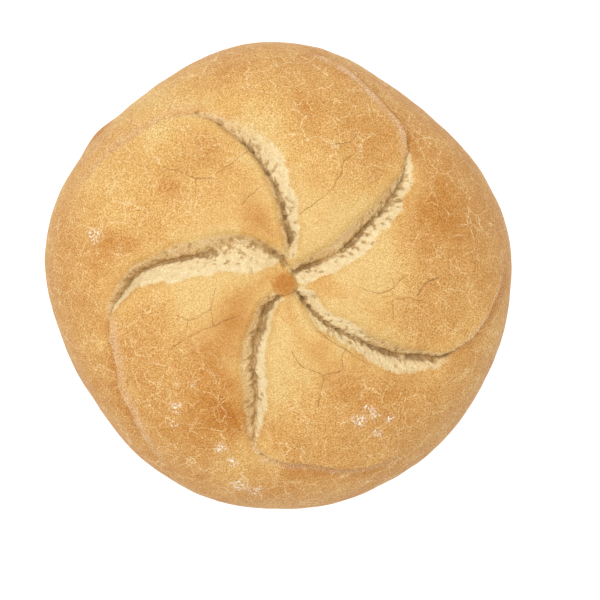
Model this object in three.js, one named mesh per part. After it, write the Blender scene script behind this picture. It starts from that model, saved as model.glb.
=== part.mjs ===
// A round wheat roll with five curved cuts that swirl out of a small button at its crown.
// It is one baked piece: a domed bun, widest at its waist, that stands on a flat browned sole.
import * as THREE from 'three';
import { mergeVertices } from 'three/addons/utils/BufferGeometryUtils.js';

// Driving dimensions, in millimetres. Bearings are degrees, counter-clockwise seen from above.
const MEAN_RADIUS = 49.3;
const WAIST_HEIGHT = 20; // the height where the bun is widest
const CROWN_RISE = 31; // from the waist up to the crown, before anything is pressed in
const CROWN_POWER = 2.15; // 2 is an ellipse, and more is a squarer shoulder
const SOLE_DROP = 24; // how far the lower curve would reach if the sole didn't cut it off
const SOLE_POWER = 3;

// Uneven rising: each swell pushes the outline out in a number of lobes, one of them at its bearing.
const OUTLINE_SWELLS = [
  { lobes: 2, height: 0.72, bearing: -48 },
  { lobes: 3, height: 0.16, bearing: 23 },
  { lobes: 4, height: 0.78, bearing: -2 },
  { lobes: 5, height: 0.62, bearing: 21 },
];

// The crown is pressed down into a dimple with a button standing in it.
const DIMPLE = { depth: 3.2, radius: 10 };
const BUTTON = { height: 1.6, radius: 2.3 };

// Each cut runs out along its trail of [distance from the button, bearing] points. It is an open V with a
// wall on its clockwise and its counter-clockwise side, as far as `open` along it, and then it turns into
// a fold, where the petal inside the curve stands a step above the band outside it, until `end`.
const CUTS = [
  {
    trail: [[3.3, 47], [9.3, 31], [15.8, 31], [21.9, 35], [28.3, 37], [33.8, 41], [38, 46],
      [41.3, 51], [43.2, 60], [45.2, 67], [47.7, 76], [49.2, 85]],
    depth: 4.6, clockwiseWall: 3.4, counterWall: 3.2, open: 38, end: 72, fan: 31,
  },
  {
    trail: [[4.7, 76], [12.6, 88], [20.2, 96], [28.2, 104], [35.7, 112], [39.2, 117],
      [41.2, 124], [44.4, 144], [46.5, 155], [49.5, 165]],
    depth: 4.4, clockwiseWall: 4.8, counterWall: 2.8, open: 41, end: 78, fan: 98,
  },
  {
    trail: [[4.4, 91], [8.5, 125], [12.8, 145], [17.3, 160], [23, 168], [27.5, 174], [32.2, 180],
      [36.5, 189], [37.9, 200], [39.9, 211], [42.5, 223], [44.6, 236]],
    depth: 5.2, clockwiseWall: 3.2, counterWall: 5, open: 43, end: 76, fan: 166,
  },
  {
    trail: [[3.4, 222], [5.8, 224], [12.2, 236], [17.3, 245], [22.9, 254], [29.2, 258.5],
      [34.5, 262], [37.5, 272], [39.7, 285], [42.3, 295], [44.4, 303]],
    depth: 4.4, clockwiseWall: 2.9, counterWall: 3, open: 36, end: 66, fan: 248,
  },
  {
    trail: [[2.6, 326], [7.8, 314], [15.3, 319], [24.3, 324.5], [30.7, 329], [36, 333], [39.9, 339],
      [41.9, 347], [45.8, 354], [47.5, 363.5], [48.7, 367]],
    depth: 4.6, clockwiseWall: 3.2, counterWall: 3.8, open: 42, end: 66, fan: 320,
  },
];
const WALL_POWER = 1.5; // above 1 the wall is steep at the bottom and rounds over at its lip
const CUT_START = 7; // how far along a cut its depth takes to grow, and at its other end to fade
const CUT_FADE = 14;
const END_WIDTH = 0.45; // how narrow the walls are at both ends of a cut, beside its middle
const PETAL_DROOP = { depth: 1.5, reach: 8 }; // how the petals round down towards a cut
const FOLD = { step: 1.1, softness: 0.8, reach: 8 };

// Mesh layout: columns follow the cuts, and crowd towards them by these fractions of a petal. Rings crowd
// towards the button.
const PETAL_FRACTIONS = [0, 0.04, 0.08, 0.13, 0.19, 0.27, 0.38, 0.5, 0.62, 0.73, 0.81, 0.87, 0.92, 0.96];
const CROWN_RINGS = 29;
const RING_CROWDING = 1.3;
const SOLE_RINGS = 8;
const TRAIL_STEPS = 120;
const FAN_RADIUS = 12; // inside this the columns spread evenly round the button

const { degToRad, smoothstep, lerp } = THREE.MathUtils;
const DOWN_TO_SOLE = Math.asin((WAIST_HEIGHT / SOLE_DROP) ** (SOLE_POWER / 2));
const cuts = CUTS.map(traceCut);

function outlineRadius(bearing) {
  const swells = OUTLINE_SWELLS.map(
    (swell) => swell.height * Math.cos(swell.lobes * degToRad(bearing - swell.bearing)),
  );
  return swells.reduce((sum, swell) => sum + swell, MEAN_RADIUS);
}

function polar(distance, bearing, height) {
  const angle = degToRad(bearing);
  return new THREE.Vector3(distance * Math.cos(angle), distance * Math.sin(angle), height);
}

// A point of the smooth upper bun, and the way its surface faces there.
function crownPoint(distance, bearing) {
  const reach = Math.min(distance / outlineRadius(bearing), 1);
  const rise = (1 - reach ** CROWN_POWER) ** (1 / CROWN_POWER);
  const point = polar(distance, bearing, WAIST_HEIGHT + CROWN_RISE * rise);
  const outward = reach ** (CROWN_POWER - 1) / outlineRadius(bearing);
  const upward = rise ** (CROWN_POWER - 1) / CROWN_RISE;
  const normal = polar(outward, bearing, upward).normalize();
  return { point, normal };
}

// A cut's trail as points along the smooth bun, each with how far along the cut it lies.
function traceCut(cut) {
  const trail = cut.trail.map(([distance, bearing]) => new THREE.Vector2(distance, bearing));
  const stations = new THREE.SplineCurve(trail).getPoints(TRAIL_STEPS).map((station) => ({
    distance: station.x,
    bearing: station.y,
    ...crownPoint(station.x, station.y),
    along: 0,
  }));
  for (let i = 1; i < stations.length; i += 1) {
    stations[i].along = stations[i - 1].along + stations[i].point.distanceTo(stations[i - 1].point);
  }
  return { ...cut, stations };
}

// How far along a cut a point lies, and how far to its side: positive is the counter-clockwise side.
function nearestOnCut(cut, point, normal) {
  const gaps = cut.stations.map((station) => station.point.distanceTo(point));
  const nearest = gaps.indexOf(Math.min(...gaps));
  const before = cut.stations[Math.max(nearest - 1, 0)].point;
  const after = cut.stations[Math.min(nearest + 1, TRAIL_STEPS)].point;
  const leftward = normal.clone().cross(after.clone().sub(before));
  const side = point.clone().sub(cut.stations[nearest].point).dot(leftward) >= 0 ? 1 : -1;
  return { along: cut.stations[nearest].along, side: side * gaps[nearest] };
}

// How far one cut presses a point of the bun in, and how far its fold lifts it.
function cutRelief(cut, point, normal) {
  const { along, side } = nearestOnCut(cut, point, normal);
  const gap = Math.abs(side);
  const fading = smoothstep(along, cut.open - CUT_FADE, cut.open);
  const openness = smoothstep(along, 0, CUT_START) * (1 - fading);
  const wall = (side > 0 ? cut.counterWall : cut.clockwiseWall) * lerp(END_WIDTH, 1, openness);
  const valley = cut.depth * Math.max(1 - gap / wall, 0) ** WALL_POWER;
  const droop = PETAL_DROOP.depth * Math.exp(-((gap / PETAL_DROOP.reach) ** 2));
  const folding = fading * (1 - smoothstep(along, cut.open, cut.end));
  const step = FOLD.step * Math.tanh(side / FOLD.softness) * Math.exp(-gap / FOLD.reach);
  return { press: openness * (valley + droop), lift: (folding * step) / 2 };
}

function crownSurface(distance, bearing) {
  const { point, normal } = crownPoint(distance, bearing);
  const reliefs = cuts.map((cut) => cutRelief(cut, point, normal));
  const press = Math.max(...reliefs.map((relief) => relief.press));
  const lift = reliefs.reduce((sum, relief) => sum + relief.lift, 0);
  const dimple = DIMPLE.depth * Math.exp(-((distance / DIMPLE.radius) ** 2));
  const button = BUTTON.height * Math.exp(-((distance / BUTTON.radius) ** 4));
  return point.addScaledVector(normal, lift + button - press - dimple);
}

// Below the waist the side curves in to the edge of the sole, and the sole closes flat.
function lowerSurface(share, bearing) {
  if (share >= 1) return new THREE.Vector3(0, 0, 0);
  const turn = DOWN_TO_SOLE * (share * SOLE_RINGS) / (SOLE_RINGS - 1);
  const distance = outlineRadius(bearing) * Math.cos(turn) ** (2 / SOLE_POWER);
  const drop = SOLE_DROP * Math.sin(turn) ** (2 / SOLE_POWER);
  return polar(distance, bearing, Math.max(WAIST_HEIGHT - drop, 0));
}

// The bearing that a cut has at a distance from the button: it fans in evenly to the button, and stays
// put past the open stretch.
function guideBearing(cut, distance) {
  const open = cut.stations.filter((station) => station.along <= cut.open);
  const station = open.find((candidate) => candidate.distance >= distance) ?? open.at(-1);
  return lerp(cut.fan, station.bearing, smoothstep(distance, 0, FAN_RADIUS));
}

function columnBearing(column, distance) {
  const petal = Math.floor(column / PETAL_FRACTIONS.length);
  const from = guideBearing(cuts[petal % cuts.length], distance) + 360 * Math.floor(petal / cuts.length);
  const next = petal + 1;
  const to = guideBearing(cuts[next % cuts.length], distance) + 360 * Math.floor(next / cuts.length);
  return lerp(from, to, PETAL_FRACTIONS[column % PETAL_FRACTIONS.length]);
}

function rollPoint(ring, column) {
  const rimBearing = columnBearing(column, MEAN_RADIUS);
  if (ring > CROWN_RINGS) return lowerSurface((ring - CROWN_RINGS) / SOLE_RINGS, rimBearing);
  const reach = Math.sin((Math.PI / 2) * (ring / CROWN_RINGS) ** RING_CROWDING);
  const bearing = columnBearing(column, reach * MEAN_RADIUS);
  if (ring === 0) return crownSurface(0, 0);
  return crownSurface(reach * outlineRadius(bearing), bearing);
}

// A ball's mesh, with every vertex moved to its place on the roll, and the box centred over the origin.
function rollGeometry() {
  const columns = PETAL_FRACTIONS.length * cuts.length;
  const rings = CROWN_RINGS + SOLE_RINGS;
  const ball = new THREE.SphereGeometry(1, columns, rings);
  const position = ball.getAttribute('position');
  for (let ring = 0; ring <= rings; ring += 1) {
    for (let column = 0; column <= columns; column += 1) {
      const point = rollPoint(ring, column % columns);
      position.setXYZ(ring * (columns + 1) + column, point.x, point.y, point.z);
    }
  }
  ball.deleteAttribute('normal');
  ball.deleteAttribute('uv');
  const roll = mergeVertices(ball, 1e-3);
  roll.computeBoundingBox();
  const middle = roll.boundingBox.getCenter(new THREE.Vector3());
  roll.translate(-middle.x, -middle.y, -roll.boundingBox.min.z);
  roll.computeVertexNormals();
  return roll;
}

const crust = new THREE.MeshStandardMaterial({ color: 0xd9a05c, roughness: 0.75, metalness: 0 });
const breadRoll = new THREE.Mesh(rollGeometry(), crust);
breadRoll.name = 'bread_roll';

const group = new THREE.Group();
group.add(breadRoll);

export default group;
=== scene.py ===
import math

import bmesh
import bpy
import numpy as np
from mathutils import Matrix, Vector, noise


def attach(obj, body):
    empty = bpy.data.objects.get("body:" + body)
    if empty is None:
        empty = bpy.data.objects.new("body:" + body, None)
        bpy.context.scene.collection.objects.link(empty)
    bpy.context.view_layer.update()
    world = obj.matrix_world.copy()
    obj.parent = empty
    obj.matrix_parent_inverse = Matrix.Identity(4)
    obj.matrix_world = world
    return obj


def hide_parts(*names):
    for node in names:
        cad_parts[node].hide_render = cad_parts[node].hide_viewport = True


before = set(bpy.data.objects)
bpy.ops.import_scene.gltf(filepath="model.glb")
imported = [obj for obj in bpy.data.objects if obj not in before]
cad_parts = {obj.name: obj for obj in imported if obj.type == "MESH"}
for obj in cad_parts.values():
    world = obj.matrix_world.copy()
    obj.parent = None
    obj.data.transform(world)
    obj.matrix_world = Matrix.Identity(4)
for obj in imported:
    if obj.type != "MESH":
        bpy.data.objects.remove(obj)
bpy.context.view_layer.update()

# Lengths are in millimetres until the mesh is finished. Bearings are degrees, counter-clockwise seen
# from above, and distances are measured level from the button at the crown.
MM = 0.001
MEAN_RADIUS = 49.3
WAIST_HEIGHT = 20.0  # the height where the bun is widest
CROWN_RISE = 31.0  # from the waist up to the crown, before anything is pressed in
CROWN_POWER = 2.15  # 2 is an ellipse, and more is a squarer shoulder
SOLE_DROP = 24.0  # how far the lower curve would reach if the sole didn't cut it off
SOLE_POWER = 3.0
SOLE_EDGE = 1.4  # how round the edge of the sole is
SOLE_SETTLE = 0.2  # how far the sole is pressed flat

# Uneven rising: each swell is a number of lobes, their height and the bearing of one of them.
OUTLINE_SWELLS = ((2, 0.72, -48), (3, 0.16, 23), (4, 0.78, -2), (5, 0.62, 21))

DIMPLE_DEPTH = 3.2
DIMPLE_RADIUS = 10.0
BUTTON_HEIGHT = 0.9
BUTTON_RADIUS = 1.95

# Each cut: its trail of (distance, bearing) points, how deep it is, how far along it stays open, where
# its fold has died away, and where the fold's pale band lies beside it: its middle, half width and
# strength. Clockwise and counter-clockwise sides differ, so these change along the cut:
# pale: (along, width on the clockwise side, on the counter-clockwise side, paleness, pits) of bare crumb
# tan: (along, width on the clockwise side, on the counter-clockwise side) of painted shade on the wall
# turned from the light
# slit: (along, half width, strength) of the torn bottom, darkened with painted shade
CUTS = {
    "upper_right": dict(
        trail=((1.4, 62), (3.6, 45), (9.3, 31), (15.8, 31), (21.9, 35), (28.3, 37), (33.8, 41),
               (38, 46), (40.6, 52), (42.4, 60), (44.4, 67), (46.4, 74), (47.9, 80), (48.9, 84)),
        depth=2.9, open=42, end=76, band=(1.2, 1.2, 1.0),
        pale=((0, 2.6, 0.2, 1, 0.2), (2.5, 3.4, 0.2, 1, 0.3), (5, 3.2, 0.2, 1, 0.7),
              (12, 3.4, 0.2, 1, 0.7), (22, 3.4, 0.2, 1, 0.7), (28, 2.7, 0.6, 1, 0.8),
              (34, 2.4, 0.6, 0.9, 0.7), (38, 1.8, 0.3, 0.8, 0.3), (42, 0.5, 0, 0.6, 0)),
        tan=((0, 0, 1), (6, 0, 2), (14, 0, 3.2), (20, 0, 3), (26, 0, 2.2), (32, 0, 2), (37, 0, 0.8),
             (42, 0, 0.3)),
        slit=((0, 0.2, 0.3), (2.5, 0.5, 1), (5, 0.6, 1), (9, 0.4, 0.8), (12, 0.3, 0.6), (15, 0.5, 1),
              (20, 0.55, 1), (26, 0.45, 0.9), (31, 0.6, 0.7), (35, 0.35, 0.8), (40, 0.25, 0.6),
              (44, 0.15, 0))),
    "upper_left": dict(
        trail=((4.7, 76), (12.6, 87.5), (20.2, 95), (28.2, 102.7), (35.7, 111.5), (39.2, 117),
               (41.2, 124), (44.4, 144), (46.5, 155), (49.5, 165)),
        depth=2.7, open=43, end=78, band=(-1.5, 2.2, 0.5),
        pale=((0, 1.5, 0.2, 1, 0.3), (5, 2, 0.3, 0.95, 0.8), (10, 2.8, 0.3, 0.85, 1),
              (15, 3.5, 0.3, 0.82, 1), (20, 4.2, 0.3, 0.78, 0.9), (25, 4.5, 0.2, 0.62, 0.9),
              (30, 4.2, 0.1, 0.48, 0.8), (36, 3.2, 0.1, 0.34, 0.6), (43, 1.5, 0, 0.15, 0.3)),
        tan=((0, 0.6, 1.6), (10, 1.4, 1.4), (20, 2.2, 1.0), (28, 2.8, 0.5), (36, 2, 0.3), (43, 0.6, 0.2)),
        slit=((0, 0.1, 0), (3, 0.2, 0.3), (4.5, 0.5, 1), (9, 0.65, 0.75), (13, 0.6, 0.7),
              (20, 0.5, 0.7), (28, 0.45, 0.7), (33, 0.35, 0.5), (41, 0.3, 0.4), (45, 0.2, 0))),
    "left": dict(
        trail=((4.4, 91), (8.5, 119), (12.7, 137), (15, 147.5), (17.8, 158.5), (22.8, 166.3),
               (27.8, 171.5), (33, 178), (36.3, 187.5), (38, 196), (38.1, 201), (38.9, 206.4),
               (40.5, 212.2), (41.8, 221), (44, 229.5), (46.3, 237.5)),
        depth=3.3, open=48, end=84, band=(1.4, 1.4, 0.8),
        pale=((0, 0.3, 2.5, 0.6, 0.8), (5.4, 0.6, 5.5, 0.75, 1), (10.3, 0.8, 6.8, 0.9, 1),
              (13.7, 0.5, 6.1, 1, 0.9), (17, 0.3, 4.9, 1, 0.7), (23, 0.1, 4.7, 1, 0.4),
              (27, 0.1, 5, 1, 0.2), (30, 0.1, 4.4, 1, 0.2), (36.5, 0.1, 3.6, 1, 0.2),
              (39, 0, 2.6, 1, 0.2), (41.5, 0, 1.8, 0.9, 0.2), (48, 0, 0.3, 0.7, 0)),
        tan=((0, 0.8, 0), (6, 1, 0), (10, 1.3, 0), (14, 2.4, 0), (17, 3.4, 0), (23, 3.6, 0),
             (26.5, 2.6, 0), (30, 1.6, 0), (36, 1.4, 0), (41, 1, 0), (48, 0.4, 0)),
        slit=((0, 0.7, 1), (3, 0.5, 0.8), (7, 0.4, 0.6), (11, 0.3, 0.5), (15, 0.35, 0.5),
              (18, 0.5, 0.9), (24, 0.45, 1), (30, 0.4, 0.9), (36, 0.45, 0.9), (42, 0.35, 0.9),
              (47, 0.2, 0.7), (51, 0.15, 0))),
    "lower": dict(
        trail=((1.6, 272), (3.3, 243), (6.65, 235.8), (9.6, 240.6), (12.9, 242.6), (16.3, 246.4),
               (20.6, 251.6), (24.6, 255.2), (28.4, 257.4), (32.2, 258.8), (35.3, 260.5), (37, 266),
               (37.8, 273.5), (39, 281), (40.8, 287), (43.3, 297.5), (45.8, 311)),
        depth=2.7, open=41, end=74, band=(-1.2, 1.1, 0.7),
        pale=((0, 0, 0.3, 1, 0.2), (3.6, 0, 1.2, 1, 0.2), (8, 0, 2, 1, 0.3), (14, 0.2, 2.5, 1, 0.4),
              (20, 0.2, 2.9, 1, 0.4), (25, 0.2, 2.8, 0.95, 0.4), (29, 0.1, 2.3, 0.9, 0.4),
              (33, 0, 1.6, 0.75, 0.3), (36, 0, 0.9, 0.6, 0.1), (41, 0, 0.2, 0.3, 0)),
        tan=((0, 1, 0), (3.6, 1.8, 0), (8, 2.2, 0), (14, 2.7, 0), (20, 2.9, 0), (26, 2.6, 0),
             (31, 1.8, 0), (36, 0.9, 0), (41, 0.3, 0)),
        slit=((0, 0.4, 0.9), (2, 0.5, 1), (5, 0.65, 1), (8, 0.85, 1), (12, 0.75, 0.85), (15, 0.6, 0.75),
              (20, 0.6, 0.85), (25, 0.45, 0.75), (30, 0.35, 0.7), (36, 0.25, 0.5), (41, 0.2, 0))),
    "right": dict(
        trail=((1.4, 335), (3, 324), (7.8, 314), (15.3, 318.5), (20.6, 322.2), (24.3, 324),
               (30.7, 328.2), (36.4, 333), (38.6, 336.8), (41, 342.8), (43.4, 350), (45.2, 356.5),
               (46.8, 361.5), (47.6, 366)),
        depth=2.9, open=43, end=70, band=(0.8, 0.8, 0.8),
        pale=((0, 0.2, 2.2, 0.8, 0.3), (3.2, 0.5, 2.6, 0.85, 0.6), (5, 0.8, 2.6, 0.85, 0.8),
              (9, 1.8, 2.8, 0.85, 1), (13.7, 2.2, 3, 0.8, 1), (18, 2.2, 2.4, 0.8, 0.9),
              (22, 2.5, 1.2, 0.8, 0.8), (29, 3.6, 0, 0.75, 0.8), (33, 3.3, 0, 0.7, 0.8),
              (37, 2.8, 0, 0.6, 0.7), (41, 1.8, 0, 0.4, 0.5), (45, 0.4, 0, 0.2, 0)),
        tan=((0, 0.3, 1.8), (6, 0.6, 2.4), (12, 1, 3), (18, 0.8, 3), (24, 0.4, 2.6), (30, 0, 2.4),
             (36, 0, 1.9), (43, 0, 0.8)),
        slit=((0, 0.1, 0), (1.5, 0.3, 0.6), (4, 0.55, 1), (6, 0.5, 1), (9, 0.45, 0.8), (14, 0.45, 0.9),
              (17, 0.3, 0.8), (20, 0.45, 0.95), (26, 0.6, 1), (33, 0.8, 1), (38, 0.8, 1), (42, 0.5, 1),
              (46, 0.25, 0.5), (48, 0.1, 0))),
}
LIP_WIDTH = 0.9  # how far each wall reaches past its bare crumb or its painted shade
FULL_WALL = 3.0  # a wall narrower than this is shallower too
WALL_POWER = 1.25  # above 1 the wall is steep at the bottom and rounds over at its lip
CUT_START = 5.0  # how far along a cut its depth takes to grow
CUT_FADE = 12.0  # how long before its end the open stretch gets shallower
FADED_SHARE = 0.75  # how much of its depth has gone there
CUT_CLOSING = 3.0  # how long the rest takes to close
BUTTON_CLEARANCE = (2.1, 3.1)  # the distances where the cuts begin to show and are fully there
SLIT_DEPTH = 0.9
SHADE_WIDTH = 1.1  # how far the painted shade at the foot of the wall turned from the light reaches past the torn bottom
PIT_DEPTH = 0.5
SHADED_WALL_PITTING = 0.75  # how pitted the wall turned from the light, painted in shade, is at least
PETAL_DROOP = 1.5  # how the petals round down towards a cut
DROOP_REACH = 8.0
FOLD_STEP = 2.0  # how far the petal inside a fold stands above the crust outside it
FOLD_SOFTNESS = 0.3
FOLD_REACH = 8.0
FOLD_FADE = 12.0  # how long before its end a fold dies away
FOLD_CREASE = 0.5  # how deep the crease along a fold is
CREASE_WIDTH = 0.5
STATION_GAP = 0.4  # how far apart the stations of a cut are
FINE_GAP = 0.12  # and those of a split

# Where the browner foot of the roll pushes out past its waist: (bearing, half angle, height, how far,
# how much browner).
FOOT_SWELLS = ((142, 5, 15.5, 1.0, 0.68), (205, 9, 14, 0.6, 0.16), (337, 9, 14, 0.8, 0.25))
FOOT_HALF_HEIGHT = 5.0

# Hairline splits in the crust, as (distance, bearing) points.
SPLITS = (
    ((3.6, 228), (2.6, 245), (2.4, 268), (2.4, 290), (2.6, 315), (2.7, 338)),
    ((38.4, 68), (35.4, 68.5)),
    ((34.2, 64), (32.1, 65), (30.2, 70)),
    ((30, 62), (27.5, 64), (25.4, 63), (21.2, 64), (18.1, 69), (15.1, 77)),
    ((16.3, -4), (18.9, -6), (21.7, -3), (24.5, 3)),
    ((23.5, -18), (22.6, -9), (25.1, -7), (28.3, -7)),
    ((14.2, -84), (17.1, -79), (20.4, -68), (23.6, -72), (26.2, -75)),
    ((20.4, -68), (21.4, -57), (19.7, -53), (18.9, -48)),
    ((14.6, 184), (16, 198), (17.2, 210)),
    ((11.8, 214), (17.1, 210.5), (22.6, 209), (26.9, 210)),
    ((22.9, 197), (21.6, 201), (22.7, 206)),
    ((16, 198), (18.8, 201), (21.6, 201)),
    ((34.2, 136), (31.5, 133), (28.4, 130), (26.5, 125.5)),
    ((28.4, 130), (26.3, 134)),
    ((28.9, 105.7), (28.2, 109.3), (27, 116.7), (26.9, 122)),
    ((21.2, 102.5), (20, 110), (18.8, 118)),
    ((12.4, 305.5), (15.6, 309.5), (19, 313), (24.4, 316)),
)
# Larger bubbles laid open by the cuts: (distance, bearing, radius).
BUBBLES = (
    (30.6, 35.7, 0.7), (29.6, 38.4, 0.5), (19.2, 27.2, 0.5), (24.6, 31.4, 0.4), (16.4, 156, 0.7),
    (20, 162.2, 0.5), (11.2, 131, 0.5), (7.2, 108, 0.6), (5.6, 96, 0.6), (10.6, 122, 0.4),
    (16.9, 91, 0.7), (14.3, 89, 0.5), (21.5, 95.2, 0.6), (24.4, 98.5, 0.5), (29.2, 103.6, 0.6),
    (31.6, 106.3, 0.6), (37.2, 112.6, 0.5), (40.6, 117, 0.4), (12.2, 315, 0.5), (15.6, 319, 0.5),
    (19.2, 318.4, 0.4), (12.4, 236.8, 0.6), (17.6, 243.8, 0.5),
)
BUBBLE_DEPTH = 0.7
SPLIT_DEPTH = 0.22
SPLIT_WIDTH = 0.16
TEAR = ((27.7, -4.5), (28.6, -2.4), (29.4, -0.3), (31.7, 1.6))
TEAR_DEPTH = 0.5
TEAR_WIDTH = 0.3

# Browner and paler patches left by the oven: (distance, bearing, radius, change).
OVEN_PATCHES = (
    (11, 210, 4, 0.4), (16, 222, 5, 0.4), (22, 226, 6, 0.35), (30, 240, 6, 0.32), (31, 252, 4, 0.3),
    (10, 105, 3, 0.25), (14.5, 115, 4, 0.4), (15, 300, 3, 0.35), (25, 300, 5, 0.3), (30, 315, 5, 0.25),
    (33.3, 166.5, 2.2, 0.25), (37, 167, 2.6, 0.3), (7.5, 356, 3, 0.35), (6, 268, 3, 0.2),
    (35, 18, 7, 0.2), (40, 32, 6, 0.2), (31, 120, 3, 0.15), (36, 84, 3, 0.3), (12, 258, 4, -0.2),
    (20, 256, 4, -0.2), (20, 46, 6, -0.2), (18, 8, 8, -0.15), (19, 195, 5, -0.25), (35, 95, 8, -0.3),
    (42, 128, 9, -0.35), (41, 152, 8, -0.35), (46, 120, 8, -0.2), (40, 256, 4, -0.3),
    (38.5, 266, 2.5, -0.4), (43, 345, 5, -0.3), (38, 192, 4, -0.15), (40, 198.5, 1.8, -0.4),
    (22, 316, 2.5, 0.2), (29, 250, 3, 0.2), (14, 250, 3, -0.1), (13, 231, 2.5, 0.2), (18, 236, 2.5, 0.2),
    (23.5, 243, 2.5, 0.25), (6.5, 195, 3, 0.1), (30.7, 139, 2.2, 0.3),
)
# Dustings of flour: (distance, bearing, radius).
FLOUR_DUSTINGS = (
    (32.2, 298.2, 1.7), (33.3, 304.3, 1.4), (35.8, 308.1, 1.2), (31, 303.7, 0.9), (36.7, 302, 1.2),
    (34, 229, 1.6), (37, 249, 1.4), (39.4, 254, 1.4), (44, 258, 1.6), (45, 263, 1.6), (40.5, 166, 1.8),
    (37, 232, 1), (28, 227, 0.9),
)

# How browned the crust is at each distance: (distance, level). 0 is pale gold, and 1 is deep brown.
BROWNING_STOPS = ((0, 0.5), (6, 0.27), (12, 0.3), (18, 0.29), (25, 0.47), (32, 0.7), (40, 0.74), (49, 0.76))
BUTTON_BROWNING = 0.7  # how much browner the button is, as far as its brown radius
BROWN_RADIUS = 2.45
FOLD_SHADOW_DARKENING = 0.28  # painted shadow: how much darker and browner the crust is outside a fold, below its step
LIP_PALING = 0.24  # how much paler it is on the lips of the cuts, past the pale start
PALE_START = 3.0
PATCH_STRENGTH = 1.25
SIDE_BROWNING = 0.72
SOLE_BROWNING = 0.35  # how much browner the sole is than the side
CRACKLE_REACH = (14, 30)  # the distances where the crackle begins and is fully there
CRACKLE_FADE = 12  # how far below the waist it fades

# Layers of noise, each (amount, size, seed) and its octaves where there are more than one.
CRUST_BUMPS = ((0.4, 15, 12), (0.12, 4.5, 13), (0.045, 1.6, 14))
CRUMB_BUMPS = ((0.25, 1.5, 15, 3),)
CROWN_BLOTCHES = ((0.2, 9, 21), (0.15, 3.5, 22, 2))
SIDE_BLOTCHES = ((0.08, 6, 23, 2),)
FOOT_BLOTCHES = ((0.7, 3, 24, 2),)
PALE_FRAYS = ((0.6, 3.5, 42), (0.45, 1.6, 39), (0.3, 0.8, 40))
PIT_SPOTS = ((1, 1.0, 37, 3),)
SLIT_SWELLS = ((0.4, 2.2, 31),)
SLIT_RAGS = ((0.25, 1.5, 32), (0.3, 0.7, 34, 2))
SLIT_BREAKS = ((1, 2.6, 36),)
SHADE_BLOTCHES = ((0.35, 1.4, 43, 2),)
BAND_BLOTCHES = ((0.6, 2.5, 41),)
SEAM_BREAKS = ((1, 4, 38),)

# How far lines stray from their trails, and the sizes and seeds of their bends.
WARP = 0.35
WARP_BENDS = (5, (1, 2, 3))
FRAY = 0.16
FRAY_BENDS = (1.3, (4, 5, 6))
BUBBLE_FRAY = 0.45
SPLIT_STRAY = 0.3
SPLIT_BENDS = (1.8, (7, 8, 9))


def smoothstep(value, low, high):
    """A smooth rise from 0 to 1 as the value goes from low to high."""
    share = np.clip((value - low) / (high - low), 0, 1)
    return share * share * (3 - 2 * share)


def bump_at(points, size, seed, octaves=1):
    """Smooth noise from about -1 to 1, with features of that size."""
    shift = Vector((7.3 * seed, 3.1 * seed, 5.7 * seed))
    total = np.zeros(len(points))
    for octave in range(octaves):
        scale = 2 ** octave / size
        layer = [noise.noise(Vector(point) * scale + shift) for point in points]
        total += np.array(layer) / 2 ** octave
    return total


def layered(points, layers):
    return sum(amount * bump_at(points, *layer) for amount, *layer in layers)


def bends(points, size, seeds):
    """Noise of that size in each of the three directions."""
    return np.stack([bump_at(points, size, seed) for seed in seeds], axis=1)


# The smooth bun

def outline_radius(bearing):
    radius = np.full_like(bearing, MEAN_RADIUS)
    for lobes, height, peak in OUTLINE_SWELLS:
        radius += height * np.cos(lobes * np.radians(bearing - peak))
    return radius


def polar(distance, bearing, height):
    angle = np.radians(bearing)
    return np.stack([distance * np.cos(angle), distance * np.sin(angle), height], axis=-1)


def crown_points(distance, bearing):
    reach = np.clip(distance / outline_radius(bearing), 0, 1)
    rise = (1 - reach ** CROWN_POWER) ** (1 / CROWN_POWER)
    return polar(distance, bearing, WAIST_HEIGHT + CROWN_RISE * rise)


def crown_normals(distance, bearing):
    radius = outline_radius(bearing)
    reach = np.clip(distance / radius, 0, 1)
    rise = (1 - reach ** CROWN_POWER) ** (1 / CROWN_POWER)
    outward = reach ** (CROWN_POWER - 1) / radius
    normal = polar(outward, bearing, rise ** (CROWN_POWER - 1) / CROWN_RISE)
    return normal / np.linalg.norm(normal, axis=-1, keepdims=True)


CROWN_SHARE = 0.68  # the share of the ball's area that becomes the crown
LOWER_CROWDING = 1.5  # above 1 the points below the waist crowd towards it


def bun_points(ball):
    """Where the points of a unit ball lie on the smooth bun, and each one's bearing and distance."""
    bearing = np.degrees(np.arctan2(ball[:, 1], ball[:, 0]))
    depth = np.clip((1 - ball[:, 2]) / 2, 0, 1)
    radius = outline_radius(bearing)
    crown = np.clip(depth / CROWN_SHARE, 0, 1)
    crown_distance = radius * np.sqrt(1 - (1 - crown) ** 2)
    lower = np.clip((depth - CROWN_SHARE) / (1 - CROWN_SHARE), 0, 1)
    turn = math.pi / 2 * lower ** LOWER_CROWDING
    lower_distance = radius * np.cos(turn).clip(0) ** (2 / SOLE_POWER)
    fall = WAIST_HEIGHT - SOLE_DROP * np.sin(turn) ** (2 / SOLE_POWER)
    height = np.maximum((fall + np.sqrt(fall ** 2 + SOLE_EDGE ** 2)) / 2 - SOLE_SETTLE, 0)
    above = depth < CROWN_SHARE
    distance = np.where(above, crown_distance, lower_distance)
    upper = crown_points(crown_distance, bearing)
    under = polar(lower_distance, bearing, height)
    return np.where(above[:, None], upper, under), bearing, distance


# Lines that run over the crown: cuts, splits and the tear

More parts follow.
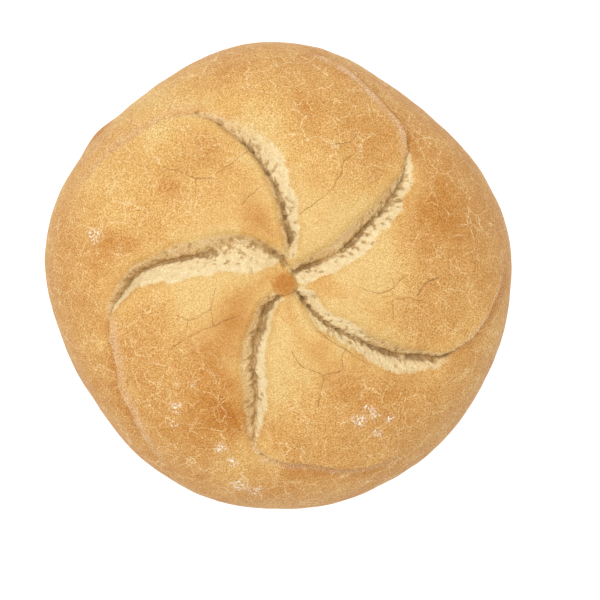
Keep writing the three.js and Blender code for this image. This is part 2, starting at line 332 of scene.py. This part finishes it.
def smooth_trail(trail, steps):
    """A smooth curve through (distance, bearing) points, as Catmull-Rom pieces."""
    knots = np.array(trail, float)
    knots = np.vstack([knots[:1], knots, knots[-1:]])
    share = np.linspace(0, 1, steps, endpoint=False)[:, None]
    pieces = []
    for a, b, c, d in zip(knots, knots[1:], knots[2:], knots[3:]):
        slope_b = (c - a) / 2
        slope_c = (d - b) / 2
        cubic = 2 * b - 2 * c + slope_b + slope_c
        square = 3 * (c - b) - 2 * slope_b - slope_c
        pieces.append(cubic * share ** 3 + square * share ** 2 + slope_b * share + b)
    return np.vstack(pieces + [knots[-1:]])


def lay_on_crown(curve, spacing):
    """Evenly spaced stations of a (distance, bearing) curve: place, leftward way and length run."""
    rough = crown_points(curve[:, 0], curve[:, 1])
    run = np.concatenate([[0], np.cumsum(np.linalg.norm(np.diff(rough, axis=0), axis=1))])
    even = np.arange(0, run[-1], spacing)
    distance = np.interp(even, run, curve[:, 0])
    bearing = np.interp(even, run, curve[:, 1])
    place = crown_points(distance, bearing)
    leftward = np.cross(crown_normals(distance, bearing), np.gradient(place, axis=0))
    leftward /= np.linalg.norm(leftward, axis=1, keepdims=True)
    return place, leftward, even


def nearest_on(line, points):
    """For each point, how far along the line it lies, how far to its left, and how far away."""
    place, leftward, run = line
    along = np.empty(len(points))
    side = np.empty(len(points))
    away = np.empty(len(points))
    batch = 20000
    for start in range(0, len(points), batch):
        some = points[start:start + batch]
        squares = (some ** 2).sum(1)[:, None] + (place ** 2).sum(1) - 2 * some @ place.T
        nearest = squares.argmin(1)
        offset = some - place[nearest]
        along[start:start + batch] = run[nearest]
        side[start:start + batch] = (offset * leftward[nearest]).sum(1)
        away[start:start + batch] = np.linalg.norm(offset, axis=1)
    return along, side, away


def along_cut(table, along):
    """The columns of one of a cut's tables, at each place along the cut."""
    columns = np.array(table, float).T
    return [np.interp(along, columns[0], column) for column in columns[1:]]


def wall_widths(cut, along):
    """How wide a cut's clockwise and counter-clockwise walls are, at each place along it."""
    pale_clockwise, pale_counter, _, _ = along_cut(cut["pale"], along)
    shade_tan_clockwise, shade_tan_counter = along_cut(cut["tan"], along)
    clockwise = np.maximum(pale_clockwise, shade_tan_clockwise) + LIP_WIDTH
    counter = np.maximum(pale_counter, shade_tan_counter) + LIP_WIDTH
    return clockwise, counter


CUT_STEPS = 24  # from one point of a trail to the next
SPLIT_STEPS = 8
CUT_LINES = {name: lay_on_crown(smooth_trail(cut["trail"], CUT_STEPS), STATION_GAP)
             for name, cut in CUTS.items()}
SPLIT_LINES = [lay_on_crown(smooth_trail(split, SPLIT_STEPS), FINE_GAP) for split in SPLITS]
TEAR_LINE = lay_on_crown(smooth_trail(TEAR, SPLIT_STEPS), FINE_GAP)


# The roll's skin: a ball whose points are moved out to the bun, and made finer where there is detail

BALL_FINENESS = 6
SOLE_SHARE = 0.86  # beyond this share of the ball the sole is left coarse
CUT_BAND = 4.5  # how far beside an open cut the skin is made finer
FOLD_BAND = 2.4  # beside a fold
SEAM_BAND = 0.8  # beside a fold, in the finest pass
ENDS_BAND = 2.0  # how far past the ends of a line, beside the rest
SPLIT_BANDS = (1.2, 0.6)  # beside a split, in the first pass and in the finest


def ball_points(bm):
    return np.array([vert.co for vert in bm.verts])


def refine(bm, wanted):
    """Divides the edges between the wanted points, and puts the new points on the ball."""
    bm.edges.ensure_lookup_table()
    edges = [edge for edge in bm.edges if wanted[edge.verts[0].index] and wanted[edge.verts[1].index]]
    bmesh.ops.subdivide_edges(bm, edges=edges, cuts=1, use_grid_fill=True)
    bmesh.ops.triangulate(bm, faces=[face for face in bm.faces if len(face.verts) > 3])
    for vert in bm.verts:
        vert.co.normalize()
    bm.verts.index_update()


def near_detail(bm, finest):
    """Which points lie near a cut, a fold or a split, or for the finest pass in a cut or on a split."""
    points, _, _ = bun_points(ball_points(bm))
    wanted = np.zeros(len(points), bool)
    for name, line in CUT_LINES.items():
        cut = CUTS[name]
        along, side, away = nearest_on(line, points)
        clockwise, counter = wall_widths(cut, along)
        if finest:
            reach = np.where(along < cut["open"], np.where(side > 0, counter, clockwise), SEAM_BAND)
        else:
            reach = np.where(along < cut["open"], CUT_BAND, FOLD_BAND)
        wanted |= (np.abs(side) < reach) & (away < CUT_BAND + ENDS_BAND) & (along < cut["end"])
    for line in SPLIT_LINES + [TEAR_LINE]:
        _, _, away = nearest_on(line, points)
        wanted |= away < SPLIT_BANDS[finest]
    return wanted


def skin():
    bm = bmesh.new()
    bmesh.ops.create_icosphere(bm, subdivisions=BALL_FINENESS, radius=1)
    bm.verts.index_update()
    refine(bm, (1 - ball_points(bm)[:, 2]) / 2 < SOLE_SHARE)
    refine(bm, near_detail(bm, False))
    refine(bm, near_detail(bm, True))
    return bm


# What the cuts, the oven and the baker's flour do to it

def crumb_and_shaded_wall(cut, points, along, side, cutting):
    """The bare crumb and the painted shade on a cut's walls, their pits, and which wall is turned from the
    light.
    """
    gap = np.abs(side)
    pale_clockwise, pale_counter, paleness, pitting = along_cut(cut["pale"], along)
    shade_tan_clockwise, shade_tan_counter = along_cut(cut["tan"], along)
    pale_width = np.where(side > 0, pale_counter, pale_clockwise)
    shade_tan_width = np.where(side > 0, shade_tan_counter, shade_tan_clockwise)
    frayed = gap + layered(points, PALE_FRAYS)
    pale = cutting * paleness * (1 - smoothstep(frayed, pale_width - 0.9, pale_width + 0.5))
    # Painted shade: a darker wall on the side of the cut turned from the light.
    tan = cutting * (1 - smoothstep(gap, 0.6 * shade_tan_width, shade_tan_width + 0.5)) * smoothstep(shade_tan_width, 0, 0.5)
    shaded_wall = shade_tan_width > pale_width
    pitting = np.maximum(pitting, SHADED_WALL_PITTING * shaded_wall)
    low_down = np.exp(-((gap / 1.5) ** 2))
    pits = smoothstep(layered(points, PIT_SPOTS) + 0.4 * low_down + 0.4 * pitting, 0.66, 0.98)
    pits = pits * np.maximum(pale, 0.9 * tan) * smoothstep(pitting, 0, 0.5)
    return pale, tan, pits, shaded_wall


def torn_bottom(cut, points, along, side, beside, shaded_wall):
    """The tear along the bottom of a cut, dark with painted shade, and painted shade beside it at the foot
    of the wall turned from the light.
    """
    width, strength = along_cut(cut["slit"], along)
    width = width * (1 + layered(points, SLIT_SWELLS))
    ragged = np.abs(side + layered(points, SLIT_RAGS))
    unbroken = smoothstep(layered(points, SLIT_BREAKS) + 1.1 * strength, 0.1, 0.7)
    slit = beside * unbroken * strength * smoothstep(width - ragged, -0.15, 0.25)
    # Painted shade at the foot of the wall turned from the light.
    shade = smoothstep(width + SHADE_WIDTH - np.abs(side), 0, 1) * shaded_wall
    shade *= (0.55 + layered(points, SHADE_BLOTCHES)) * beside * strength
    return slit, shade


def fold_over(cut, points, along, side, beside, marks):
    """The fold that a cut turns into: how far it lifts. Its band, its seam and the painted shadow below it
    go into the marks.
    """
    folding = beside * smoothstep(along, cut["open"] - 5, cut["open"] + 1)
    folding *= 1 - smoothstep(along, cut["end"] - FOLD_FADE, cut["end"])
    step = FOLD_STEP * np.tanh(side / FOLD_SOFTNESS) * np.exp(-np.abs(side) / FOLD_REACH) / 2
    crease = FOLD_CREASE * np.exp(-((side / CREASE_WIDTH) ** 2))
    middle, half, strength = cut["band"]
    band = folding * strength * np.exp(-(((side - middle) / half) ** 4))
    band *= 0.75 + layered(points, BAND_BLOTCHES)
    seam = folding * smoothstep(layered(points, SEAM_BREAKS), -0.6, 0.1) * (np.abs(side) < 1)
    # Painted shadow on the crust outside the fold, below its step.
    shelter = folding * smoothstep(-side, -0.2, 0.6) * np.exp(-((side + 1.2) / 2.2) ** 2)
    marks["hem"] = np.where(seam > marks["seam"], 1 + side, marks["hem"])
    deepen(marks, band=band, seam=seam, shelter=shelter)
    return folding * (step - crease)


def deepen(marks, **amounts):
    """Raises each named mark to the amount, where it isn't already higher."""
    for mark, amount in amounts.items():
        marks[mark] = np.maximum(marks[mark], amount)


def cut_relief(name, points, wobbled, marks):
    """One cut's valley, torn bottom and fold: how far it presses in, how far it lifts, and its marks."""
    cut = CUTS[name]
    along, side, away = nearest_on(CUT_LINES[name], wobbled)
    gap = np.abs(side)
    past_ends = away - gap
    from_button = np.hypot(*wobbled[:, :2].T)
    beside = (1 - smoothstep(past_ends, 0.2, 1.2)) * smoothstep(from_button, *BUTTON_CLEARANCE)
    fading = FADED_SHARE * smoothstep(along, cut["open"] - CUT_FADE, cut["open"])
    closing = 1 - smoothstep(along, cut["open"], cut["open"] + CUT_CLOSING)
    openness = beside * smoothstep(along, -0.5, CUT_START) * (1 - fading) * closing
    clockwise, counter = wall_widths(cut, along)
    width = np.where(side > 0, counter, clockwise)
    climb = np.clip(1 - gap / width, 0, 1)
    valley = cut["depth"] * climb ** WALL_POWER * np.clip(width / FULL_WALL, 0.4, 1)
    droop = PETAL_DROOP * np.exp(-((gap / DROOP_REACH) ** 2))

    cutting = smoothstep(openness, 0.02, 0.3)
    lip = cutting * np.exp(-((gap / (width + 2)) ** 4))
    pale, tan, pits, shaded_wall = crumb_and_shaded_wall(cut, points, along, side, cutting)
    slit, shade = torn_bottom(cut, points, along, side, beside, shaded_wall)
    # Painted shade in the torn bottom, in pits and beside the wall turned from the light.
    pore = np.maximum(np.maximum(slit, 0.85 * pits), shade)
    deepen(marks, pale=pale, tan=tan, pore=pore, lip=lip)
    lift = fold_over(cut, points, along, side, beside, marks)
    return openness * (valley + droop) + SLIT_DEPTH * slit + PIT_DEPTH * pits, lift


def patches(points, spots):
    """The sum of soft round patches, each (distance, bearing, radius, amount)."""
    total = np.zeros(len(points))
    for distance, bearing, radius, amount in spots:
        middle = polar(np.array(distance), np.array(bearing), np.array(0.0))[:2]
        total += amount * np.exp(-((points[:, :2] - middle) ** 2).sum(1) / radius ** 2)
    return total


def foot_swell(points, bearing):
    """How far the foot of the roll pushes out, and how much browner it is there."""
    pushed = np.zeros(len(points))
    browner = np.zeros(len(points))
    for middle, half, height, push, brown in FOOT_SWELLS:
        turn = (bearing - middle + 180) % 360 - 180
        swell = np.exp(-((turn / half) ** 2) - ((points[:, 2] - height) / FOOT_HALF_HEIGHT) ** 2)
        pushed += push * swell
        browner += brown * swell
    return pushed, browner


# What the material and the browning read at each point: how far it is bare crumb, painted shade on a
# wall turned from the light, painted shade in pores and torn bottoms, a fold's pale band, on a fold's
# seam, in the painted shadow below a fold, or on a cut's lip. The hem is 1 plus the distance to one side
# of the fold's line.
MARKS = ("pale", "tan", "pore", "band", "seam", "hem", "shelter", "lip")
FAR = 2.0  # the gap to a split is no more than this


def split_crust(points, marks):
    """How deep the hairline splits and the tear are. The gap mark is how far off the nearest one is, and
    across is 1 plus the distance to one side of it."""
    strayed = points + SPLIT_STRAY * bends(points, *SPLIT_BENDS)
    depth = np.zeros(len(points))
    marks["gap"] = np.full(len(points), FAR)
    marks["across"] = np.ones(len(points))
    lines = [(line, SPLIT_DEPTH, SPLIT_WIDTH) for line in SPLIT_LINES]
    for line, deepest, width in lines + [(TEAR_LINE, TEAR_DEPTH, TEAR_WIDTH)]:
        along, side, away = nearest_on(line, strayed)
        length = line[2][-1]
        ends = smoothstep(along, 0, 1.0) * (1 - smoothstep(along, length - 1.0, length))
        depth = np.maximum(depth, deepest * (0.3 + 0.7 * ends) * np.exp(-((away / width) ** 2)))
        nearer = away < marks["gap"]
        marks["gap"] = np.where(nearer, away, marks["gap"])
        marks["across"] = np.where(nearer, 1 + side * SPLIT_WIDTH / width, marks["across"])
    return depth


def bake_roll(points, normals, distance, bearing, above):
    """Displaces the smooth bun to its baked shape, and returns the marks its colours are read from."""
    fray = bends(points, *FRAY_BENDS)
    wobbled = points + WARP * bends(points, *WARP_BENDS) + FRAY * fray
    marks = {name: np.zeros(len(points)) for name in MARKS}
    press = np.zeros(len(points))
    lift = np.zeros(len(points))
    for name in CUTS:
        pressed, lifted = cut_relief(name, points, wobbled, marks)
        press = np.maximum(press, pressed)
        lift += lifted
    split = split_crust(points, marks)
    dimple = DIMPLE_DEPTH * np.exp(-((distance / DIMPLE_RADIUS) ** 2))
    button = BUTTON_HEIGHT * np.exp(-((distance / BUTTON_RADIUS) ** 4))
    crust = layered(points, CRUST_BUMPS)
    opened = np.maximum(marks["pale"], marks["tan"])
    crumb = opened * layered(points, CRUMB_BUMPS)
    spots = [(*bubble, 1.0) for bubble in BUBBLES]
    bubble = smoothstep(patches(points + BUBBLE_FRAY * fray, spots), 0.3, 0.75)
    bubble *= opened > 0.05
    # Painted shade in the opened bubbles.
    deepen(marks, pore=0.85 * bubble)
    height = lift + button + crust + crumb - press - split - BUBBLE_DEPTH * bubble
    pushed, marks["foot"] = foot_swell(points, bearing)
    under = (crust + pushed) * smoothstep(points[:, 2], 0.3, 4)
    height = np.where(above, height - dimple, under)
    return points + normals * height[:, None], marks


def browning(points, distance, above, marks):
    """How far the oven browned each place, with painted shadow below the folds added: 0 is pale gold, and 1
    is deep orange brown.
    """
    level = np.interp(distance, *np.array(BROWNING_STOPS).T)
    level += PATCH_STRENGTH * patches(points, OVEN_PATCHES) + layered(points, CROWN_BLOTCHES)
    # Painted shadow below the folds, and the paler lips of the cuts.
    level += FOLD_SHADOW_DARKENING * marks["shelter"] - LIP_PALING * marks["lip"] * (distance > PALE_START)
    level += BUTTON_BROWNING * np.exp(-((distance / BROWN_RADIUS) ** 5))
    level = np.where(above, level, SIDE_BROWNING + layered(points, SIDE_BLOTCHES))
    level += marks["foot"] * ~above * (0.9 + layered(points, FOOT_BLOTCHES))
    return level + SOLE_BROWNING * (1 - smoothstep(points[:, 2], 0.5, 5)) * ~above


def crackling(points, distance, above, marks):
    """How far the crust has crazed: more towards the rim, and less on lips and below the waist."""
    below = smoothstep(WAIST_HEIGHT - points[:, 2], 0, CRACKLE_FADE) * ~above
    return smoothstep(distance, *CRACKLE_REACH) * (1 - 0.6 * marks["lip"]) * (1 - 0.7 * below)


def add_mark(mesh, name, values):
    attribute = mesh.attributes.new(name, "FLOAT", "POINT")
    attribute.data.foreach_set("value", np.clip(values, 0, 2).astype(np.float32))


def roll_mesh():
    """The baked roll's mesh with its marks, and where its button stands with the outline centred."""
    bm = skin()
    ball = ball_points(bm)
    points, bearing, distance = bun_points(ball)
    for vert, point in zip(bm.verts, points):
        vert.co = point
    bm.normal_update()
    normals = np.array([vert.normal for vert in bm.verts])
    above = (1 - ball[:, 2]) / 2 < CROWN_SHARE
    shaped, marks = bake_roll(points, normals, distance, bearing, above)
    shaped[:, 2] -= shaped[:, 2].min()
    turn = np.arange(0.0, 360.0)
    edge = polar(outline_radius(turn), turn, np.zeros_like(turn))
    hub = -(edge.max(0) + edge.min(0)) / 2
    for vert, point in zip(bm.verts, (shaped + hub) * MM):
        vert.co = point
    mesh = bpy.data.meshes.new("bread_roll_baked")
    bm.to_mesh(mesh)
    bm.free()
    mesh.polygons.foreach_set("use_smooth", np.ones(len(mesh.polygons), bool))
    add_mark(mesh, "browning", browning(points, distance, above, marks))
    add_mark(mesh, "crackle", crackling(points, distance, above, marks))
    for name in ("pale", "tan", "pore", "gap", "across", "band", "seam", "hem"):
        add_mark(mesh, name, marks[name])
    dust = [(*dusting, 1.0) for dusting in FLOUR_DUSTINGS]
    add_mark(mesh, "flour", patches(points, dust) * above)
    mesh.update()
    return mesh, hub


# The crust and crumb material: colours, grains and hairlines in millimetres of the roll's own place

class Nodes:
    """A material's nodes, with a short way to make and join them."""

    def __init__(self, material):
        material.use_nodes = True
        self.tree = material.node_tree
        self.tree.nodes.clear()

    def add(self, kind, settings=None, **inputs):
        node = self.tree.nodes.new(kind)
        for name, value in (settings or {}).items():
            setattr(node, name, value)
        for name, value in inputs.items():
            self.feed(node, name, value)
        return node

    def feed(self, node, name, value):
        """Sets an input, given by its name or as _0 for the first, or joins a node's output to it."""
        socket = node.inputs[int(name[1:])] if name[0] == "_" else node.inputs[name.replace("_", " ")]
        if isinstance(value, bpy.types.NodeSocket):
            self.tree.links.new(value, socket)
        else:
            socket.default_value = value

    def mark(self, name):
        """One of the marks stored on the mesh."""
        return self.add("ShaderNodeAttribute", {"attribute_name": name}).outputs["Fac"]

    def math(self, operation, first, second=0.0):
        return self.add("ShaderNodeMath", {"operation": operation}, _0=first, _1=second).outputs[0]

    def span(self, value, low, high, to_low=0.0, to_high=1.0):
        """A smooth step from to_low to to_high as the value goes from low to high."""
        settings = {"interpolation_type": "SMOOTHSTEP"}
        node = self.add("ShaderNodeMapRange", settings, _0=value, _1=low, _2=high, _3=to_low, _4=to_high)
        return node.outputs[0]

    def blend(self, share, first, second, mode="MIX"):
        """The first colour, with that share of the second one mixed or multiplied in."""
        settings = {"data_type": "RGBA", "blend_type": mode}
        return self.add("ShaderNodeMix", settings, _0=share, _6=first, _7=second).outputs[2]

    def grain(self, place, size, detail=2.0, roughness=0.5):
        """Noise with grains of about that size in millimetres."""
        scale = 1 / (size * MM)
        node = self.add("ShaderNodeTexNoise", Vector=place, Scale=scale, Detail=detail, Roughness=roughness)
        return node.outputs["Fac"]

    def cells(self, place, size, feature):
        """The distance in a net of cells of that size: from their middles, or from their edges."""
        node = self.add("ShaderNodeTexVoronoi", {"feature": feature}, Vector=place, Scale=1 / (size * MM))
        return node.outputs["Distance"]

    def line(self, name, full, nothing, strength):
        """A hairline along the middle of a mark that holds 1 plus the distance to one side."""
        off = self.math("ABSOLUTE", self.math("SUBTRACT", self.mark(name), 1.0))
        return self.span(off, full, nothing, strength, 0.0)


PALE_GOLD = (0.7, 0.46, 0.17, 1)
GOLD = (0.665, 0.385, 0.12, 1)
ORANGE = (0.6, 0.31, 0.09, 1)
BROWN = (0.53, 0.235, 0.05, 1)
DEEP_BROWN = (0.45, 0.165, 0.022, 1)
FOOT_BROWN = (0.25, 0.09, 0.03, 1)
CRUMB_CREAM = (0.81, 0.655, 0.375, 1)
# Brownish for fibres in the bare crumb, and for painted shade on the cut walls turned from the light.
CRUMB_TAN_AND_SHADE = (0.64, 0.425, 0.2, 1)
# Painted shade in pores, pits and torn bottoms, and a darker one at their deepest.
PORE_SHADE = (0.41, 0.24, 0.085, 1)
PORE_DEEP_SHADE = (0.21, 0.105, 0.032, 1)
BAND_PALE = (0.67, 0.42, 0.225, 1)
HAIRLINE_BROWN = (0.34, 0.16, 0.05, 1)
CRACKLE_PALE = (0.8, 0.57, 0.28, 1)
FLOUR_WHITE = (0.9, 0.82, 0.7, 1)
GRAIN_DARK = (0.66, 0.5, 0.14, 1)  # what the fine grain multiplies the colours by at its darkest
GRAIN_LIGHT = (1.34, 1.5, 1.86, 1)

# The crust's colour at each level of browning, and the level of the last one.
CRUST_STOPS = (
    (0.06, PALE_GOLD), (0.24, GOLD), (0.45, ORANGE), (0.65, BROWN), (0.8, DEEP_BROWN), (1.0, FOOT_BROWN),
)
DARKEST_LEVEL = 1.6
# Nets of pale crackle: (cell size, line width, strength).
CRACKLE_NETS = ((6.0, 0.17, 0.7), (3.2, 0.13, 0.6))
CRACKLE_SHAKE = 0.0035  # how far the nets are pulled about, in metres


def browned(nodes, place):
    """The oven's colours, mottled."""
    mottle = nodes.math("MULTIPLY_ADD", nodes.grain(place, 1.8, 4, 0.65), 0.5)
    mottle.node.inputs[2].default_value = -0.25
    level = nodes.math("ADD", nodes.mark("browning"), mottle)
    ramp = nodes.add("ShaderNodeValToRGB", Fac=nodes.math("DIVIDE", level, DARKEST_LEVEL))
    elements = ramp.color_ramp.elements
    elements[0].position, elements[0].color = CRUST_STOPS[0]
    elements[1].position, elements[1].color = CRUST_STOPS[-1]
    for position, colour in CRUST_STOPS[1:-1]:
        elements.new(position).color = colour
    return ramp.outputs["Color"]


def crackle(nodes, place):
    """Nets of pale lines where the crust has crazed, broken off here and there."""
    shake = nodes.add("ShaderNodeTexNoise", Vector=place, Scale=1 / (3.5 * MM), Detail=2.0)
    pull = (CRACKLE_SHAKE, CRACKLE_SHAKE, CRACKLE_SHAKE)
    settings = {"operation": "MULTIPLY_ADD"}
    shaken = nodes.add("ShaderNodeVectorMath", settings, _0=shake.outputs["Color"], _1=pull, _2=place)
    total = 0.0
    for size, width, strength in CRACKLE_NETS:
        edge = nodes.cells(shaken.outputs[0], size, "DISTANCE_TO_EDGE")
        line = nodes.span(edge, 0.0, width / size, strength, 0.0)
        where = nodes.span(nodes.grain(place, 1.1 * size, 3), 0.42, 0.58)
        total = nodes.math("MAXIMUM", nodes.math("MULTIPLY", line, where), total)
    return nodes.math("MULTIPLY", total, nodes.mark("crackle"))


def dots(nodes, place, size, radii, some, strength):
    """Dots in some of the cells of a net, at that strength."""
    dot = nodes.span(nodes.cells(place, size, "F1"), *radii, 1.0, 0.0)
    return nodes.math("MULTIPLY", nodes.math("MULTIPLY", dot, some), strength)


def crust_colour(nodes, place):
    """The oven's browns, with pale crackle and flecks on the browner crust and tiny dark specks."""
    colour = nodes.blend(crackle(nodes, place), browned(nodes, place), CRACKLE_PALE)
    flecked = nodes.span(nodes.grain(place, 1.1, 2), 0.55, 0.65)
    flecked = nodes.math("MULTIPLY", flecked, nodes.mark("crackle"))
    colour = nodes.blend(dots(nodes, place, 0.8, (0.1, 0.3), flecked, 0.6), colour, CRACKLE_PALE)
    specked = nodes.span(nodes.grain(place, 1.7, 1), 0.6, 0.68)
    return nodes.blend(dots(nodes, place, 1.1, (0.06, 0.2), specked, 0.4), colour, DEEP_BROWN)


def opened_colour(nodes, place, crust):
    """The crust with what the cuts laid open over it: painted shade on the walls turned from the light,
    bare crumb, splits, and painted shade in the pores. It returns how bare each place is too."""
    fray = nodes.math("MULTIPLY_ADD", nodes.grain(place, 0.7, 3, 0.65), 0.8)
    fray.node.inputs[2].default_value = -0.4
    fibre = nodes.span(nodes.grain(place, 1.3, 4, 0.7), 0.35, 0.75)
    # Painted shade on the cut wall turned from the light, with paler fibres.
    skin = nodes.span(nodes.math("ADD", nodes.mark("tan"), fray), 0.1, 0.9)
    shaded_wall = nodes.blend(nodes.math("MULTIPLY", fibre, 0.6), CRUMB_TAN_AND_SHADE, CRUMB_CREAM)
    colour = nodes.blend(nodes.math("MULTIPLY", skin, 0.8), crust, shaded_wall)
    bare = nodes.span(nodes.math("ADD", nodes.mark("pale"), fray), 0.15, 0.85)
    crumb = nodes.blend(nodes.math("MULTIPLY", fibre, 0.4), CRUMB_CREAM, CRUMB_TAN_AND_SHADE)
    colour = nodes.blend(bare, colour, crumb)

    near = nodes.span(nodes.mark("gap"), 0.3, 0.45, 1.0, 0.0)
    uneven = nodes.span(nodes.grain(place, 2.4, 2), 0.38, 0.56, 0.5, 1.0)
    split = nodes.math("MULTIPLY", nodes.line("across", 0.03, 0.14, 0.8), near)
    split = nodes.math("MULTIPLY", split, uneven)
    seam = nodes.math("MULTIPLY", nodes.line("hem", 0.06, 0.24, 0.85), nodes.mark("seam"))
    colour = nodes.blend(nodes.math("MAXIMUM", split, seam), colour, HAIRLINE_BROWN)

    # Painted shade in pores, pits and torn bottoms.
    pore = nodes.math("ADD", nodes.mark("pore"), nodes.math("MULTIPLY", fray, 0.8))
    colour = nodes.blend(nodes.math("MULTIPLY", nodes.span(pore, 0.15, 0.95), 0.75), colour, PORE_SHADE)
    colour = nodes.blend(nodes.math("MULTIPLY", nodes.span(pore, 0.7, 1.25), 0.5), colour, PORE_DEEP_SHADE)
    return colour, bare


def roll_material():
    material = bpy.data.materials.new("baked_wheat")
    nodes = Nodes(material)
    place = nodes.add("ShaderNodeTexCoord").outputs["Object"]
    crust = crust_colour(nodes, place)
    crust = nodes.blend(nodes.math("MULTIPLY", nodes.mark("band"), 0.9), crust, BAND_PALE)
    colour, bare = opened_colour(nodes, place, crust)

    grain = nodes.math("ADD", nodes.grain(place, 0.32, 2, 0.6), nodes.grain(place, 0.2, 2, 0.6))
    grain = nodes.span(grain, 0.65, 1.35)
    grained = nodes.blend(1.0, colour, nodes.blend(grain, GRAIN_DARK, GRAIN_LIGHT), "MULTIPLY")
    on_crust = nodes.span(nodes.mark("crackle"), 0, 1, 0.62, 1.0)
    strength = nodes.math("MULTIPLY", on_crust, nodes.span(bare, 0, 1, 1.0, 0.55))
    colour = nodes.blend(strength, colour, grained)
    dusted = nodes.span(nodes.grain(place, 0.6, 2, 0.7), 0.5, 0.62)
    dusted = nodes.math("MULTIPLY", dusted, nodes.span(nodes.mark("flour"), 0.2, 0.9))
    colour = nodes.blend(dusted, colour, FLOUR_WHITE)

    rough = nodes.span(bare, 0, 1, 0.6, 0.9)
    relief = nodes.math("ADD", nodes.grain(place, 0.5, 4, 0.65), nodes.math("MULTIPLY", grain, 0.4))
    bump = nodes.add("ShaderNodeBump", Strength=0.4, Distance=0.2 * MM, Height=relief).outputs["Normal"]
    shader = nodes.add("ShaderNodeBsdfPrincipled", Base_Color=colour, Roughness=rough, Normal=bump)
    shader.inputs["Specular IOR Level"].default_value = 0.25
    output = nodes.add("ShaderNodeOutputMaterial")
    nodes.tree.links.new(shader.outputs[0], output.inputs["Surface"])
    return material


# Studio, in metres

FLOOR_GAP = 0.0001  # keeps the floor clear of the sole
FLOOR_GREY = (0.5, 0.5, 0.5, 1)
FLOOR_GLOW = 0.72
WHITE = (1, 1, 1, 1)
WORLD_LIGHT = 0.6
MIDDLE_HEIGHT = 0.025
KEY_PLACE = Vector((-0.17, 0.12, 0.98))  # from the middle of the roll
KEY_WIDTH = 0.8
KEY_WATTS = 7.6
CAMERA_AWAY = 0.6
CAMERA_TILT = 4  # degrees from straight above, towards the upper left
CAMERA_AIM = Vector((0.00419, -0.00445, 0.025))  # from the floor below the button
CAMERA_LENS = 168.8
CAMERA_SENSOR = 36


def white_floor():
    bm = bmesh.new()
    bmesh.ops.create_grid(bm, x_segments=1, y_segments=1, size=2.5)
    mesh = bpy.data.meshes.new("floor")
    bm.to_mesh(mesh)
    bm.free()
    mesh.transform(Matrix.Translation((0, 0, -FLOOR_GAP)))
    floor = bpy.data.objects.new("floor", mesh)
    bpy.context.collection.objects.link(floor)
    paper = bpy.data.materials.new("white_paper")
    nodes = Nodes(paper)
    sheet = nodes.add("ShaderNodeBsdfPrincipled", Base_Color=FLOOR_GREY, Roughness=0.9,
                      Emission_Color=WHITE, Emission_Strength=FLOOR_GLOW)
    output = nodes.add("ShaderNodeOutputMaterial")
    nodes.tree.links.new(sheet.outputs[0], output.inputs["Surface"])
    mesh.materials.append(paper)


def soft_light():
    world = bpy.data.worlds.new("studio")
    world.use_nodes = True
    background = world.node_tree.nodes["Background"]
    background.inputs["Color"].default_value = WHITE
    background.inputs["Strength"].default_value = WORLD_LIGHT
    bpy.context.scene.world = world
    key = bpy.data.lights.new("key_softbox", "AREA")
    key.shape = "DISK"
    key.size = KEY_WIDTH
    key.energy = KEY_WATTS
    middle = Vector((0, 0, MIDDLE_HEIGHT))
    lamp = bpy.data.objects.new("key_softbox", key)
    lamp.location = middle + KEY_PLACE
    lamp.rotation_euler = (middle - lamp.location).to_track_quat("-Z", "Y").to_euler()
    bpy.context.collection.objects.link(lamp)


def camera_above(hub):
    """A long lens nearly straight above, with the roll's own +Y upwards in view."""
    tilt = math.radians(CAMERA_TILT)
    lean = math.sin(tilt) * math.sqrt(0.5)
    back = Vector((-lean, lean, math.cos(tilt)))
    upward = (Vector((0, 1, 0)) - back * back.y).normalized()
    sideways = upward.cross(back)
    lens = bpy.data.cameras.new("camera")
    lens.lens = CAMERA_LENS
    lens.sensor_width = CAMERA_SENSOR
    lens.clip_start = 0.01
    camera = bpy.data.objects.new("camera", lens)
    camera.location = CAMERA_AIM + Vector(hub) * MM + back * CAMERA_AWAY
    camera.rotation_euler = Matrix((sideways, upward, back)).transposed().to_euler()
    bpy.context.collection.objects.link(camera)
    bpy.context.scene.camera = camera
    bpy.context.scene.view_settings.view_transform = "Standard"


mesh, hub = roll_mesh()
roll = bpy.data.objects.new("bread_roll_baked", mesh)
bpy.context.collection.objects.link(roll)
mesh.materials.append(roll_material())
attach(roll, "root")
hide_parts("bread_roll")
white_floor()
soft_light()
camera_above(hub)
